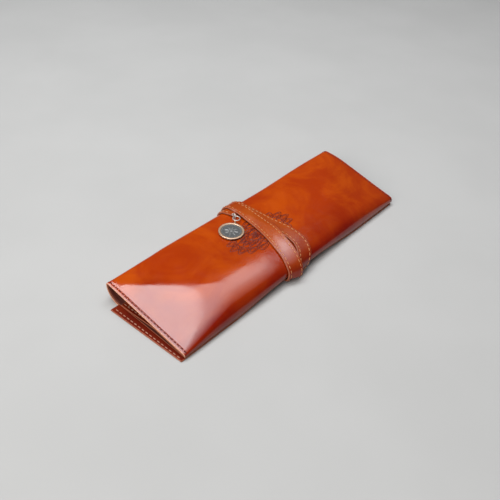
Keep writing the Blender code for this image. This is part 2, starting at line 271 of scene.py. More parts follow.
def make_cover_sheet():
    """The cover, gently rippled on top and creased along its two end seams."""
    stations = end_stations()
    lines = np.stack([cover_line(x) for x in stations], axis=1)
    points = with_stations(stations, lines)
    smooth = Sheet(stations, points)
    rows = np.arange(len(points))
    settled = ease((rows - TOP_ROW + 4) / 16) * (1 - 0.7 * ease((rows - LIP_ROW + 14) / 14))
    shift = np.zeros(points.shape[:2])
    for i in rows[settled > 0]:
        for j, x in enumerate(stations):
            shift[i, j] = settled[i] * ripple(x, smooth.along[i], RIPPLE_SEED)
    shift *= mix(RIPPLE_AT_LEFT, 1.0, ease((stations - LEFT_X - 30 * MM) / (25 * MM)))[None, :]
    width, depth = END_CREASE
    crease = np.exp(-((stations - LEFT_X - END_SEAM) / width) ** 2)
    crease += np.exp(-((stations - RIGHT_X + END_SEAM) / width) ** 2)
    shift -= depth * crease[None, :] * (rows > LOW_ROW)[:, None]
    return Sheet(stations, points + smooth.normals * shift[:, :, None])


# ---- meshes

def in_scene(name, data):
    """A new object, linked to the scene."""
    made = bpy.data.objects.new(name, data)
    bpy.context.scene.collection.objects.link(made)
    return made


def make_object(name, vertices, faces, materials, indices=None, normals=None):
    """A smooth mesh that remembers its place at rest, which its materials follow."""
    mesh = bpy.data.meshes.new(name)
    mesh.from_pydata(np.asarray(vertices).tolist(), [], faces)
    for material in materials:
        mesh.materials.append(material)
    if indices is not None:
        mesh.polygons.foreach_set("material_index", indices)
    mesh.shade_smooth()
    if normals is not None:
        mesh.normals_split_custom_set_from_vertices(np.asarray(normals).tolist())
    rest = mesh.attributes.new("rest", "FLOAT_VECTOR", "POINT")
    rest.data.foreach_set("vector", np.asarray(vertices, np.float32).ravel())
    return in_scene(name, mesh)


def leather_solid(name, points, normals, thickness, materials, free=(1, 1, 1, 1), edge=CUT_EDGE):
    """A closed sheet of leather below a grid of points.

    free tells which borders are rounded cut edges: first row, last row, first and last column.
    The materials are the grain side, the cut edge and the flesh side."""
    rows, columns = points.shape[:2]
    number = np.arange(rows * columns).reshape(rows, columns)
    loop = np.concatenate([
        number[0, :], number[1:, -1], number[-1, -2::-1], number[-2:0:-1, 0],
    ])
    along = scaled_to_1(np.gradient(points, axis=0))
    across = scaled_to_1(np.gradient(points, axis=1))
    outward = np.zeros_like(points)
    outward[0] -= along[0] * free[0]
    outward[-1] += along[-1] * free[1]
    outward[:, 0] -= across[:, 0] * free[2]
    outward[:, -1] += across[:, -1] * free[3]
    outward = outward.reshape(-1, 3)[loop]
    outward /= np.maximum(np.linalg.norm(outward, axis=1), 1)[:, None]
    outer, up = points.reshape(-1, 3), normals.reshape(-1, 3)
    inner = outer - up * thickness
    vertices, vertex_normals = [outer, inner], [up, -up]
    for k in (1, 2, 3):
        a = math.pi * k / 4
        drop = thickness / 2 * (1 - math.cos(a))
        vertices.append(outer[loop] - up[loop] * drop + outward * edge * math.sin(a))
        turned = up[loop] * math.cos(a) + outward * math.sin(a)
        turned += 1e-4 * up[loop]
        vertex_normals.append(scaled_to_1(turned))
    a, b = number[:-1, :-1].ravel(), number[1:, :-1].ravel()
    c, d = number[1:, 1:].ravel(), number[:-1, 1:].ravel()
    size, count = rows * columns, len(loop)
    grain = np.stack([a, b, c, d], axis=1)
    flesh = np.stack([d, c, b, a], axis=1) + size
    rings = [loop] + [2 * size + k * count + np.arange(count) for k in range(3)] + [loop + size]
    rim = []
    for near, far in zip(rings, rings[1:]):
        rim.append(np.stack([near, np.roll(near, -1), np.roll(far, -1), far], axis=1))
    faces = np.concatenate([grain, flesh] + rim)
    indices = np.concatenate([np.zeros(len(grain)), np.full(len(flesh), 2), np.ones(4 * count)])
    return make_object(
        name, np.concatenate(vertices), faces.tolist(), materials, indices.astype(int),
        np.concatenate(vertex_normals),
    )


def joined(name, blocks, materials):
    """One object from (vertices, faces) blocks."""
    vertices, faces, size = [], [], 0
    for block_vertices, block_faces in blocks:
        vertices.append(block_vertices)
        faces += [[int(v) + size for v in face] for face in block_faces]
        size += len(block_vertices)
    return make_object(name, np.concatenate(vertices), faces, materials)


def stitch_block(points, forwards, normals, length, width, height):
    """Stitches lying on a surface: a plump thread at each point, sunk at both of its ends."""
    shares = np.array([-1, -0.86, -0.45, 0, 0.45, 0.86, 1])
    fat = np.array([0.35, 0.75, 1, 1, 1, 0.75, 0.35])
    sunk = np.array([-0.5, 0.05, 0.3, 0.36, 0.3, 0.05, -0.5])
    sides = 6
    turn = 2 * math.pi * np.arange(sides) / sides
    aside = np.cross(normals, forwards)
    rings = []
    for share, fatness, depth in zip(shares, fat, sunk):
        centre = points + forwards * (share * length / 2) + normals * (depth * height)
        for a in turn:
            offset = aside * (math.cos(a) * width / 2 * fatness)
            rings.append(centre + offset + normals * (math.sin(a) * height / 2 * fatness))
    vertices = np.stack(rings, axis=1)
    count = len(shares) * sides
    faces = []
    for k in range(len(shares) - 1):
        for j in range(sides):
            nxt = (j + 1) % sides
            faces.append([k * sides + j, k * sides + nxt, (k + 1) * sides + nxt, (k + 1) * sides + j])
    last = count - sides
    ends = [list(range(sides))[::-1], [last + j for j in range(sides)]]
    all_faces = []
    for i in range(len(points)):
        all_faces += [[i * count + v for v in face] for face in faces + ends]
    return vertices.reshape(-1, 3), all_faces


def seam(line, normals, pitch, size=STITCH):
    """Evenly spaced stitches along a line of surface points; size is length, width and height."""
    along = along_line(line)
    count = max(int(along[-1] / pitch), 1)
    places = (np.arange(count) + 0.5) * along[-1] / count

    def sample(values, where):
        return np.stack([np.interp(where, along, values[:, k]) for k in range(3)], axis=1)

    forwards = scaled_to_1(sample(line, places + 0.3 * MM) - sample(line, places - 0.3 * MM))
    up = sample(normals, places)
    up = scaled_to_1(up - forwards * (up * forwards).sum(axis=1)[:, None])
    return stitch_block(sample(line, places), forwards, up, *size)


def tube_faces(segments, sides):
    """Faces of a closed tube, whose points come ring by ring."""
    faces = []
    for i in range(segments):
        for j in range(sides):
            p, q, k = i * sides, (i + 1) % segments * sides, (j + 1) % sides
            faces.append([p + j, p + k, q + k, q + j])
    return faces


def ring_block(centre, radius, wire, along, across, segments=56, sides=14):
    """A wire ring in the plane of along and across."""
    normal = np.cross(along, across)
    a = 2 * math.pi * np.arange(segments) / segments
    b = 2 * math.pi * np.arange(sides) / sides
    out = np.cos(a)[:, None] * along + np.sin(a)[:, None] * across
    reach = radius + wire * np.cos(b)
    rise = wire * np.sin(b)
    vertices = centre + out[:, None, :] * reach[None, :, None] + normal * rise[None, :, None]
    return vertices.reshape(-1, 3), tube_faces(segments, sides)


# ---- materials

class Finish:
    """A material under construction, with short calls to add and link its nodes."""

    def __init__(self, name):
        self.material = bpy.data.materials.new(name)
        self.material.use_nodes = True
        self.tree = self.material.node_tree
        self.shader = self.tree.nodes["Principled BSDF"]

    def add(self, kind, inputs=None, **settings):
        made = self.tree.nodes.new("ShaderNode" + kind)
        for key, value in settings.items():
            setattr(made, key, value)
        self.feed(made, inputs or {})
        return made

    def feed(self, made, inputs):
        for key, value in inputs.items():
            if isinstance(value, bpy.types.NodeSocket):
                self.tree.links.new(value, made.inputs[key])
            elif isinstance(value, tuple) and len(value) == 3 and made.inputs[key].type == "RGBA":
                made.inputs[key].default_value = (*value, 1)
            else:
                made.inputs[key].default_value = value

    def place(self):
        return self.add("Attribute", attribute_name="rest").outputs["Vector"]

    def noise(self, scale, detail=3, roughness=0.55, distortion=0.0, stretch=None):
        where = self.place()
        if stretch:
            where = self.add("Mapping", {"Vector": where, "Scale": stretch}).outputs["Vector"]
        values = {"Vector": where, "Scale": scale, "Detail": detail}
        values.update({"Roughness": roughness, "Distortion": distortion})
        return self.add("TexNoise", values).outputs["Fac"]

    def spread(self, value, low, high, to_low=0.0, to_high=1.0):
        values = {"Value": value, "From Min": low, "From Max": high}
        values.update({"To Min": to_low, "To Max": to_high})
        return self.add("MapRange", values, interpolation_type="SMOOTHSTEP").outputs["Result"]

    def blend(self, share, first, second, mode="MIX"):
        made = self.add("Mix", data_type="RGBA", blend_type=mode)
        for index, value in ((0, share), (6, first), (7, second)):
            if isinstance(value, bpy.types.NodeSocket):
                self.tree.links.new(value, made.inputs[index])
            else:
                made.inputs[index].default_value = (*value, 1) if isinstance(value, tuple) else value
        return made.outputs[2]

    def maths(self, operation, first, second):
        return self.add("Math", {0: first, 1: second}, operation=operation).outputs["Value"]

    def bump(self, height, distance, strength=1.0, normal=None):
        values = {"Height": height, "Distance": distance, "Strength": strength}
        if normal:
            values["Normal"] = normal
        return self.add("Bump", values).outputs["Normal"]

    def finish(self, **inputs):
        self.feed(self.shader, {key.replace("_", " "): value for key, value in inputs.items()})
        return self.material


def grain_leather(name, light, deep, shade_and_dark_tone, gloss, relief, shine=0.5):
    """Glossy oil-tanned leather: cloudy dye, fine pores and a soft sheen."""
    made = Finish(name)
    clouds = made.spread(made.noise(30, 5, 0.62, 0.8), 0.36, 0.68)
    colour = made.blend(clouds, light, deep)
    patches = made.spread(made.noise(85, 4, 0.6, 0.5), 0.46, 0.78, 0.0, 0.5)
    colour = made.blend(patches, colour, deep)
    # Painted shade: a point attribute blends in the darker third colour, chiefly on the front face
    # that faces away from the lamps.
    painted_shade_and_darkening = made.add("Attribute", attribute_name="painted_shade_and_darkening").outputs["Fac"]
    uneven = made.spread(made.noise(60, 3), 0.3, 0.7, 0.75, 1.0)
    colour = made.blend(made.maths("MULTIPLY", painted_shade_and_darkening, uneven), colour, shade_and_dark_tone)
    cells = {"Vector": made.place(), "Scale": 1500.0}
    pores = made.add("TexVoronoi", cells, feature="F1").outputs["Distance"]
    creases = made.noise(700, 4, 0.7)
    height = made.maths("ADD", made.spread(pores, 0.0, 0.35), creases)
    swell = made.noise(120, 2)
    normal = made.bump(swell, 0.00035, 0.2)
    normal = made.bump(height, 0.00003, relief, normal)
    rough = made.spread(made.noise(150, 4), 0.3, 0.7, gloss, gloss + 0.07)
    made.shader.inputs["Specular IOR Level"].default_value = shine
    return made.finish(Base_Color=colour, Roughness=rough, Normal=normal)


def cut_leather(name, light, dark):
    """The raw edge of the leather, paler and fibrous; its pale copy is partly painted highlight and
    its dark copy partly painted shade.
    """
    made = Finish(name)
    fibres = made.spread(made.noise(1400, 4, 0.7, stretch=(1, 1, 2.5)), 0.35, 0.7)
    colour = made.blend(fibres, light, dark)
    normal = made.bump(made.noise(2200, 3), 0.00006, 0.6)
    return made.finish(Base_Color=colour, Roughness=0.55, Normal=normal)


def suede(name, light, dark):
    """The soft brushed side of the leather."""
    made = Finish(name)
    nap = made.noise(900, 5, 0.75)
    colour = made.blend(made.spread(made.noise(60, 4), 0.35, 0.65), light, dark)
    colour = made.blend(made.spread(nap, 0.45, 0.75, 0.0, 0.5), colour, dark)
    normal = made.bump(nap, 0.00012, 0.7)
    return made.finish(Base_Color=colour, Roughness=0.85, Normal=normal)


def thread(name, light, dark):
    """Waxed thread: a fine twist across each stitch."""
    made = Finish(name)
    values = {"Vector": made.place(), "Scale": 900.0, "Distortion": 1.5}
    twist = made.add("TexWave", values, bands_direction="DIAGONAL").outputs["Fac"]
    colour = made.blend(made.spread(twist, 0.2, 0.8), light, dark)
    normal = made.bump(twist, 0.00004, 0.6)
    return made.finish(Base_Color=colour, Roughness=0.5, Normal=normal)


def ink(name, colour):
    """The pressed and darkened lines of the ornament."""
    made = Finish(name)
    worn = made.spread(made.noise(260, 4, 0.7), 0.35, 0.75)
    shade = made.blend(worn, colour, tuple(c * 1.9 for c in colour))
    return made.finish(Base_Color=shade, Roughness=0.4)


def aged_metal(name, bright, dark, rough):
    """Plated metal, dark in its hollows and rubbed bright where it stands proud."""
    made = Finish(name)
    relief = made.add("Attribute", attribute_name="relief").outputs["Fac"]
    speckle = made.spread(made.noise(900, 4, 0.7), 0.3, 0.75, -0.25, 0.25)
    shown = made.spread(made.maths("ADD", relief, speckle), 0.15, 0.9)
    colour = made.blend(shown, dark, bright)
    normal = made.bump(made.noise(1800, 3), 0.00003, 0.4)
    worn = made.spread(shown, 0, 1, rough + 0.2, rough)
    return made.finish(Base_Color=colour, Roughness=worn, Normal=normal, Metallic=0.55)


def floor_material():
    """Pale board with faint clouds."""
    made = Finish("pale_floor")
    clouds = made.spread(made.noise(9, 3), 0.3, 0.7)
    tone = made.blend(clouds, (0.43, 0.427, 0.42), (0.45, 0.447, 0.44))
    return made.finish(Base_Color=tone, Roughness=0.8)


# The third colour of each leather is the darker tone for the painted shade on the front and the other
# darkened places.
GRAIN = grain_leather(
    "glossy_cover", (0.44, 0.058, 0.0008), (0.335, 0.029, 0.0005), (0.185, 0.0045, 0.0004), 0.11, 0.25,
)
STRAP_GRAIN = grain_leather(
    "glossy_strap", (0.37, 0.064, 0.004), (0.29, 0.035, 0.002), (0.18, 0.006, 0.001), 0.2, 0.6,
)
INNER = grain_leather(
    "inner_leather", (0.27, 0.030, 0.004), (0.19, 0.015, 0.003), (0.11, 0.006, 0.002), 0.42, 0.5, 0.08,
)
# Painted highlight in part: the cover's cut edges are pale partly as raw leather is, partly to stand
# for the highlight that a rounded edge catches.
CUT = cut_leather("cut_edge", (0.72, 0.36, 0.22), (0.45, 0.16, 0.09))
# Painted shade in part: the same cut edge, darkened for the strap, base, lining and pocket, stands for
# the shadow along their edges.
DARK_CUT = cut_leather("shade_darkened_edge", (0.40, 0.11, 0.045), (0.22, 0.045, 0.02))
FLESH = suede("flesh_side", (0.10, 0.013, 0.004), (0.05, 0.006, 0.002))
SUEDE = suede("lining_suede", (0.13, 0.022, 0.010), (0.06, 0.010, 0.006))
THREAD = thread("waxed_thread", (0.64, 0.27, 0.10), (0.42, 0.15, 0.05))
DARK_THREAD = thread("dark_thread", (0.075, 0.013, 0.005), (0.03, 0.006, 0.003))
PALE_THREAD = thread("pale_thread", (0.55, 0.30, 0.20), (0.36, 0.16, 0.10))
INK = ink("ornament_lines", (0.095, 0.006, 0.0015))
RING_METAL = aged_metal("ring_plating", (0.62, 0.58, 0.54), (0.25, 0.22, 0.19), 0.22)
COIN_METAL = aged_metal("coin_plating", (0.27, 0.27, 0.265), (0.10, 0.103, 0.103), 0.4)
RIM_METAL = aged_metal("coin_rim_plating", (0.56, 0.38, 0.26), (0.26, 0.17, 0.11), 0.34)


def set_value(piece, name, values):
    """Give each point a number that the materials read."""
    attribute = piece.data.attributes.new(name, "FLOAT", "POINT")
    attribute.data.foreach_set("value", np.asarray(values, np.float32))


def painted_shade_and_darkening(piece):
    """Darken the leather's colour per point: painted shade low on the front, which faces away from the
    lamps; also darker by the ends, over the left end, in a patch on the top and low on the back.
    """
    co = np.zeros(len(piece.data.vertices) * 3, np.float32)
    piece.data.vertices.foreach_get("co", co)
    x, y, z = co.reshape(-1, 3).T
    # Painted shade: the front shoulder, fading out to the right, and the low front face get the darker
    # tone, as they face away from the lamps.
    front = 0.55 * ease((-y - 6 * MM) / (20 * MM)) * (1 - 0.8 * ease((x - 45 * MM) / (35 * MM)))
    front += 0.45 * ease((14 * MM - z) / (5 * MM)) * ease((-y - 24 * MM) / (6 * MM))
    back = 0.6 * ease((y - 27 * MM) / (6 * MM)) * ease((14 * MM - z) / (6 * MM))
    left = 0.5 * ease((LEFT_X + 32 * MM - x) / (20 * MM)) * ease((26 * MM - y) / (14 * MM))
    ends = 0.35 * ease((LEFT_X + 5 * MM - x) / (4 * MM))
    ends += 0.25 * ease((x - RIGHT_X + 4 * MM) / (3 * MM))
    top_patch = 0.35 * np.exp(-((x + 24 * MM) / (24 * MM)) ** 2 - ((y + 2 * MM) / (16 * MM)) ** 2)
    shade_and_darker = np.maximum.reduce([front, left, top_patch])
    set_value(piece, "painted_shade_and_darkening", np.clip(shade_and_darker + back + ends, 0, 1))


# ---- the cover and its insides

COVER_SET = [GRAIN, CUT, FLESH]
BASE_SET = [GRAIN, DARK_CUT, INNER]
STRAP_SET = [STRAP_GRAIN, DARK_CUT, FLESH]
LINING_SET = [FLESH, DARK_CUT, SUEDE]
POCKET_SET = [FLESH, DARK_CUT, INNER]
COVER = make_cover_sheet()


def bend_low(piece):
    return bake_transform(piece)


def bend_high(piece):
    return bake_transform(piece)


def ride_base(piece):
    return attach(piece, "base")


def part_of(sheet, first, last, depth=0.0):
    """Points and normals of some rows of a sheet, moved below its outer face."""
    normals = sheet.normals[first:last + 1]
    return sheet.points[first:last + 1] - normals * depth, normals


def base_with_margin():
    """The flat base, with the sewn margin that shows past the left end."""
    points, normals = part_of(COVER, 0, LOW_ROW)
    steps = (np.array([5.7, 5.2, 4.6, 3.9, 3.2, 2.4, 1.6, 0.8]) - 0.4) * MM
    margin = np.zeros((len(points), len(steps), 3))
    y = points[:, 0, 1]
    taper = mix(MARGIN_FRONT_SHARE, 1.0, (y - y[0]) / (y[-1] - y[0]))
    margin[:, :, 0] = LEFT_X + CUT_EDGE - taper[:, None] * steps
    margin[:, :, 1] = y[:, None]
    down = np.zeros_like(margin)
    down[:, :, 2] = -1
    return np.concatenate([margin, points], axis=1), np.concatenate([down, normals], axis=1)


def make_cover():
    """The outer leather: the base, the lower half of the spine, and all that is above it."""
    spine, top = part_of(COVER, LOW_ROW, HIGH_ROW), part_of(COVER, HIGH_ROW, LIP_ROW)
    for name, grid, leathers, free, hold, node in (
        ("cover_base", base_with_margin(), BASE_SET, (1, 0, 1, 1), ride_base, "base_cover"),
        ("cover_fold_low", spine, COVER_SET, (0, 0, 1, 1), bend_low, "spine_cover"),
        ("cover_top", top, COVER_SET, (0, 1, 1, 1), bend_high, "top_cover"),
    ):
        piece = leather_solid(name, *grid, LEATHER, leathers, free)
        painted_shade_and_darkening(piece)
        hold(piece)
        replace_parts(piece, node)


def make_lining():
    """The lining, one column short of the cover at each end."""
    inset = slice(1, -1)
    depth = LEATHER + PRESSED
    for name, first, last, free, hold, node in (
        ("lining_base", 0, LOW_ROW, (1, 0, 1, 1), ride_base, "base_lining"),
        ("lining_fold_low", LOW_ROW, HIGH_ROW, (0, 0, 1, 1), bend_low, "spine_lining"),
        ("lining_top", HIGH_ROW, LIP_ROW - 1, (0, 1, 1, 1), bend_high, "top_lining"),
    ):
        points, normals = part_of(COVER, first, last, depth)
        piece = leather_solid(
            name, points[:, inset], normals[:, inset], LINING, LINING_SET, free, LINING_EDGE,
        )
        hold(piece)
        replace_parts(piece, node)


def pocket_height(x, y):
    """Outer face of the pocket panel: flat on the lining, and curling up at the open left end."""
    level = base_height(x) + LEATHER + LINING + POCKET_REST
    curl = POCKET_CURL * ease((21 * MM - y) / (34 * MM)) * (1 - ease((x - LEFT_X) / (30 * MM)))
    under_top = facet_height(LEFT_FACET, x - LEFT_X, y) - LEATHER - LINING - POCKET_HEADROOM
    return np.minimum(level + curl, np.maximum(under_top, level))


def make_pockets():
    """The pocket panel, with stitches by its left end and along its back."""
    x = COVER.stations[1:-1]
    y = np.linspace(FRONT_Y + CUT_EDGE, POCKET_BACK_Y, 40)
    grid_y, grid_x = np.meshgrid(y, x, indexing="ij")
    points = np.stack([grid_x, grid_y, pocket_height(grid_x, grid_y)], axis=2)
    panel = leather_solid("pocket", points, grid_normals(points), POCKET_SHEET, POCKET_SET)
    painted_shade_and_darkening(panel)
    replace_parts(ride_base(panel), "pocket_panel")
    rows = [seam(*panel_top(points, 5), POCKET_PITCH)]
    back = points[-4, 3:-3] + [0, 0, POCKET_SHEET]
    rows.append(seam(back, np.broadcast_to([0, 0, 1.0], back.shape), POCKET_PITCH))
    ride_base(joined("pocket_stitches", rows, [PALE_THREAD]))


def panel_top(points, column):
    """A line of points on the upper face of the pocket panel, with normals."""
    up = -grid_normals(points)[:, column]
    return points[:, column] + up * POCKET_SHEET, up


LOOP_CENTRES_Y = (-15 * MM, -1 * MM, 13 * MM)
LOOP_HALF_WIDTH = 5.2 * MM
LOOP_RISE = 6.0 * MM
LOOP_SEAM = 2.2 * MM


def make_pen_loops():
    """A strip of lining sewn down between three raised loops."""
    low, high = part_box("pen_loops")
    floor = low.z + 0.1 * MM
    section = []
    for centre in LOOP_CENTRES_Y:
        for a in np.linspace(math.pi, 0, 25):
            across, up = LOOP_HALF_WIDTH * math.cos(a), LOOP_RISE * math.sin(a) ** 0.8
            section.append((centre + across, floor + up))
    first, last = section[0][0] - LOOP_SEAM, section[-1][0] + LOOP_SEAM
    section = np.array([(first, floor)] + section + [(last, floor)])
    section[:, 1] = np.maximum(section[:, 1], floor)
    line = evenly(section, 150)[::-1]
    x = np.linspace(low.x + CUT_EDGE, high.x - CUT_EDGE, 14)
    points = np.empty((len(line), len(x), 3))
    points[:, :, 0] = x
    points[:, :, 1:] = line[:, None, :]
    sheet = [FLESH, CUT, SUEDE]
    loops = leather_solid("pen_loop_strip", points, grid_normals(points), POCKET_SHEET, sheet)
    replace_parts(ride_base(loops), "pen_loops")


def make_end_seams():
    """Stitch rows along the ends of the cover and on the sewn margin."""
    points, normals = base_with_margin()
    line = points[1:-1, 3] - normals[1:-1, 3] * LEATHER
    ride_base(joined("margin_stitches", [seam(line, -normals[1:-1, 3], MARGIN_PITCH)], [PALE_THREAD]))
    for key, first, last, hold in (
        ("low", LOW_ROW, HIGH_ROW, bend_low),
        ("high", HIGH_ROW, LIP_ROW - 2, bend_high),
    ):
        blocks = []
        rows = np.linspace(first, last, 4 * (last - first))
        for x in (LEFT_X + END_SEAM, RIGHT_X - END_SEAM):
            blocks.append(seam(*COVER.at(np.full(len(rows), x), rows), END_PITCH, END_STITCH))
        hold(joined("end_stitches_" + key, blocks, [DARK_THREAD]))


# ---- the strap

CORNER_ROWS, ROWS_INSIDE_CORNER = 6, 3
CORNER_RADIUS = 1.3 * MM
GIRDLE_LEFT, GIRDLE_RIGHT, GIRDLE_COLUMNS = WAIST_X - 34 * MM, WAIST_X + 30 * MM, 49


def make_girdle():
    """The closed line that the strap follows round the waist, from under the front edge and back."""
    stations = np.linspace(GIRDLE_LEFT, GIRDLE_RIGHT, GIRDLE_COLUMNS)
    turn = np.linspace(0, math.pi / 2, CORNER_ROWS + 1)[:-1]
    columns = []
    for x in stations:
        low = base_height(x)
        line = cover_at(x)
        front = np.stack([
            -HALF_DEPTH + CORNER_RADIUS * (1 - np.cos(turn)),
            low + CORNER_RADIUS * (1 - np.sin(turn)),
        ], axis=1)
        down = np.linspace(line[-1], [line[-1][0], low + CORNER_RADIUS], 4)[1:]
        columns.append(np.concatenate([front, line[ROWS_INSIDE_CORNER:], down]))
    lines = np.stack(columns, axis=1)
    return Sheet(stations, with_stations(stations, lines))


def cover_at(x):
    """The finished cover line at a station, ripples included."""
    rows = np.arange(LIP_ROW + 1.0)
    return COVER.at(np.full(len(rows), x), rows)[0][:, 1:]


GIRDLE = make_girdle()


def girdle_distance(row):
    """Distance along the girdle of a row of the cover."""
    return GIRDLE.distance(row + CORNER_ROWS - ROWS_INSIDE_CORNER)


def smooth_path(keys):
    """A smooth curve through (distance, x) keys: cubic, with the mean slope at each key."""
    s, x = np.array(keys).T
    slopes = np.gradient(x, s)
    slopes[0] = slopes[-1] = 0

    def value(distance):
        k = np.clip(np.searchsorted(s, distance, side="right") - 1, 0, len(s) - 2)
        span = s[k + 1] - s[k]
        t = np.clip((distance - s[k]) / span, 0, 1)
        bend_in, bend_out = slopes[k] * span, slopes[k + 1] * span
        a = 2 * t ** 3 - 3 * t ** 2 + 1
        b = t ** 3 - 2 * t ** 2 + t
        c = t ** 3 - t ** 2
        return a * x[k] + b * bend_in + (1 - a) * x[k + 1] + c * bend_out
    return value


def path(*keys):
    """Keys are (row of the cover, mm from the middle of the cover)."""
    return smooth_path([(girdle_distance(row), COVER_X + value * MM) for row, value in keys])


def share(part):
    """The row at a share of the way over the top, from the back fold to the lip."""
    return TOP_ROW + part * TOP_ROWS


FRONT, BACK = -3.0, float(LOW_ROW)
PATHS = {
    1: path(
        (FRONT, 3.4), (BACK, 3.2), (TOP_ROW, 1.9), (share(0.14), 2.2), (share(0.27), 2.9),
        (share(0.4), 3.5), (share(0.5), 4.6), (share(0.61), 5.5), (share(0.7), 5.6),
        (share(0.8), 4.5), (share(0.88), 1.9), (share(0.94), -1.4), (LIP_ROW, -4.6),
        (LIP_ROW + 4, -6.2),
    ),
    2: path(
        (FRONT, -6.2), (BACK, -2.0), (TOP_ROW, -1.2), (share(0.12), -0.9), (share(0.24), -1.6),
        (share(0.4), -2.8), (share(0.55), -5.0), (share(0.68), -7.6), (share(0.82), -10.1),
        (share(0.93), -12.5), (LIP_ROW, -13.4), (LIP_ROW + 4, -13.8),
    ),
    3: path((FRONT, -13.8), (BACK, -6.9), (TOP_ROW, -7.0), (share(0.06), -7.6), (share(0.3), -9.6)),
}
TAIL_END = girdle_distance(TOP_ROW) + 7.4 * MM
OVERHANG = 7 * MM
SPRING, SPRING_START, SPRING_EASE = 1.5 * MM, share(0.34), 16 * MM
TAIL_RISE = 0.65 * MM
TAIL_BARE = 3.4 * MM
TIP_HALF_WIDTH = 1.6 * MM
SEAM_CLEAR = 0.9 * MM
NARROWEST = 0.15 * MM


def slope(turn, distance):
    """How far a turn leans along X for each metre round the case."""
    return (PATHS[turn](distance + 0.5 * MM) - PATHS[turn](distance - 0.5 * MM)) / MM


def half_width(turn, distance):
    """Half the strap's width, which on the third turn narrows to a rounded tip."""
    if turn != 3:
        return np.full_like(distance, STRAP_WIDTH / 2)
    left = TAIL_END - distance
    tongue = mix(TIP_HALF_WIDTH, STRAP_WIDTH / 2, ease((left - 1.5 * MM) / (10 * MM)))
    rounded = np.sqrt(np.maximum(TIP_HALF_WIDTH ** 2 - (TIP_HALF_WIDTH - left) ** 2, 1e-9))
    return np.where(left < TIP_HALF_WIDTH, rounded, tongue)


def side_of(turn, distance, side):
    """x of an edge of a turn: side is -1 or 1."""
    centre, lean = PATHS[turn](distance), slope(turn, distance)
    return centre + side * half_width(turn, distance) * np.sqrt(1 + lean ** 2)


def lifted(x, distance, turn):
    """How far a turn is lifted by the turns that it crosses: the second lies over the other two."""
    if turn == 2:
        left, right = side_of(2, distance, -1), side_of(2, distance, 1)
        lower_left, lower_right = side_of(1, distance, -1), side_of(3, distance, 1)
        overhang = np.minimum(lower_left, right) - left
        rise = np.clip((x - left) / np.maximum(overhang, 2.5 * MM), 0, 1)
        over_first = mix(1 - ease(overhang / OVERHANG), 1, rise)
        over_first *= ease((distance - girdle_distance(26)) / (5 * MM))
        over_third = ease((lower_right - left) / (1.6 * MM)) * (1 - ease((x - lower_right) / OVERHANG))
        over_third *= 1 - ease((distance - TAIL_END + 4 * MM) / (5 * MM))
        covered = 1 - (1 - over_first) * (1 - over_third)
        springs = ease((distance - girdle_distance(SPRING_START)) / SPRING_EASE)
        springs *= ease((x - left) / (right - left))
        return (STRAP_THICKNESS + STRAP_REST) * covered + SPRING * springs
    if turn == 3:
        return TAIL_RISE * ease((distance - TAIL_END + 5.5 * MM) / (4 * MM)) + 0 * x
    return 0 * x


def strap_point(turn, distance, offset):
    """Points and cover normals on the outer face of a turn, at offsets across it."""
    lean = slope(turn, distance)
    stretch = np.sqrt(1 + lean ** 2)
    x = PATHS[turn](distance) + offset / stretch
    where = distance - offset * lean / stretch
    points, normals = GIRDLE.at(x, GIRDLE.row(where))
    height = STRAP_REST + STRAP_THICKNESS + lifted(x, where, turn)
    return points + normals * height[..., None], normals


def strap_lengths(turn):
    """Where a turn starts, crosses from the spine's lower half to its upper half, and ends."""
    start = girdle_distance(28) if turn == 1 else 0.0
    end = TAIL_END - CUT_EDGE if turn == 3 else GIRDLE.along[-1]
    return start, girdle_distance(HIGH_ROW), end


def strap_grid(turn, distances, across):
    """Points on the outer face of a turn, from side to side at each distance."""
    width = np.maximum(half_width(turn, distances)[:, None] - CUT_EDGE, NARROWEST)
    offset = width * across[None, :]
    along = np.broadcast_to(distances[:, None], offset.shape)
    return strap_point(turn, along, offset)[0]


def make_strap():
    """Each turn of the strap, in two pieces that part half way up the spine."""
    across = np.linspace(-1, 1, 11)
    nodes = {
        1: ("strap_under_1", "strap_back_1", "strap_over_1"),
        2: ("strap_under_2", "strap_back_2", "strap_over_2"),
        3: ("strap_under_3", "strap_back_3", "strap_tail"),
    }
    for turn, (under, back, over) in nodes.items():
        start, crossing, end = strap_lengths(turn)
        low = np.linspace(start, crossing, int((crossing - start) / MM) + 1)
        high = np.linspace(crossing, end - 0.01 * MM, int((end - crossing) / (0.8 * MM)) + 1)
        points = strap_grid(turn, np.concatenate([low, high[1:]]), across)
        normals = grid_normals(points)
        cut = len(low) - 1
        own_start, own_end = int(turn == 1), int(turn == 3)
        for name, rows, free, hold, replaced in (
            ("lower", slice(0, cut + 1), (own_start, 0, 1, 1), bend_low, (under,)),
            ("upper", slice(cut, None), (0, own_end, 1, 1), bend_high, (back, over)),
        ):
            piece = leather_solid(
                f"strap_{name}_{turn}", points[rows], normals[rows], STRAP_THICKNESS, STRAP_SET, free,
            )
            painted_shade_and_darkening(piece)
            hold(piece)
            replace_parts(piece, *replaced)
        make_strap_seams(turn, low, high)


def make_strap_seams(turn, low, high):
    """A row of stitches along each side of a turn, up to where the tail narrows."""
    for name, distances, hold in (("lower", low, bend_low), ("upper", high, bend_high)):
        blocks = []
        for side in (-1, 1):
            offset = side * (half_width(turn, distances) - SEAM_INSET)
            inside = np.abs(offset) > SEAM_CLEAR
            if turn == 3:
                inside &= distances < TAIL_END - TAIL_BARE
            points, normals = strap_point(turn, distances[inside], offset[inside])
            blocks.append(seam(points, normals, STRAP_PITCH))
        hold(joined(f"strap_stitches_{name}_{turn}", blocks, [THREAD]))


